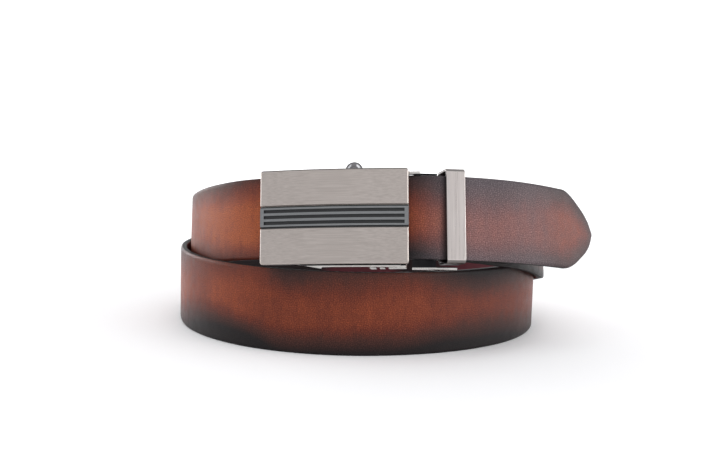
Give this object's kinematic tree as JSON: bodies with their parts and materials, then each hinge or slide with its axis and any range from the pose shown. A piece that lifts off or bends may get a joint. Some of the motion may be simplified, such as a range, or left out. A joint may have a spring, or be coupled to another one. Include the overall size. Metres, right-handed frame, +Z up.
{
  "type": "belt",
  "caption": "Leather dress belt coiled in two turns, with a flat slide buckle that locks the strap's tail and a metal loop that holds it down.",
  "frame": {"origin": "middle of the bounding box's floor", "axes": "+Z up; -Y to the front, where the face plate shows; +X to the right seen from the front, where the tail points"},
  "size_m": [0.1922, 0.1794, 0.08],
  "materials": {
    "strap_leather": "burnished brown leather, darkened along both edges, with painted edges",
    "plate_metal": "warm light grey, brushed along the strap",
    "band_metal": "darker grey satin with black grooves",
    "housing_metal": "plain bright satin plating",
    "lever_metal": "polished plating",
    "keeper_metal": "light satin plating"
  },
  "bodies": {
    "belt_body": {"strap": "strap_leather", "face_plate": "plate_metal", "inlay_band": "band_metal", "buckle_frame": "housing_metal", "strap_clamp": "housing_metal", "keeper": "keeper_metal"},
    "lever": {"release_lever": "lever_metal"}
  },
  "joints": [
    {"name": "lever_hinge", "type": "hinge", "parent": "belt_body", "child": "lever", "pos_m": [-0.02467, -0.06984, 0.05451], "axis": [-0.0263, 0.2209, 0.975], "range_deg": [0, 18], "stiffness_Nm_per_rad": 0.02, "springref_deg": -17.19}
  ]
}
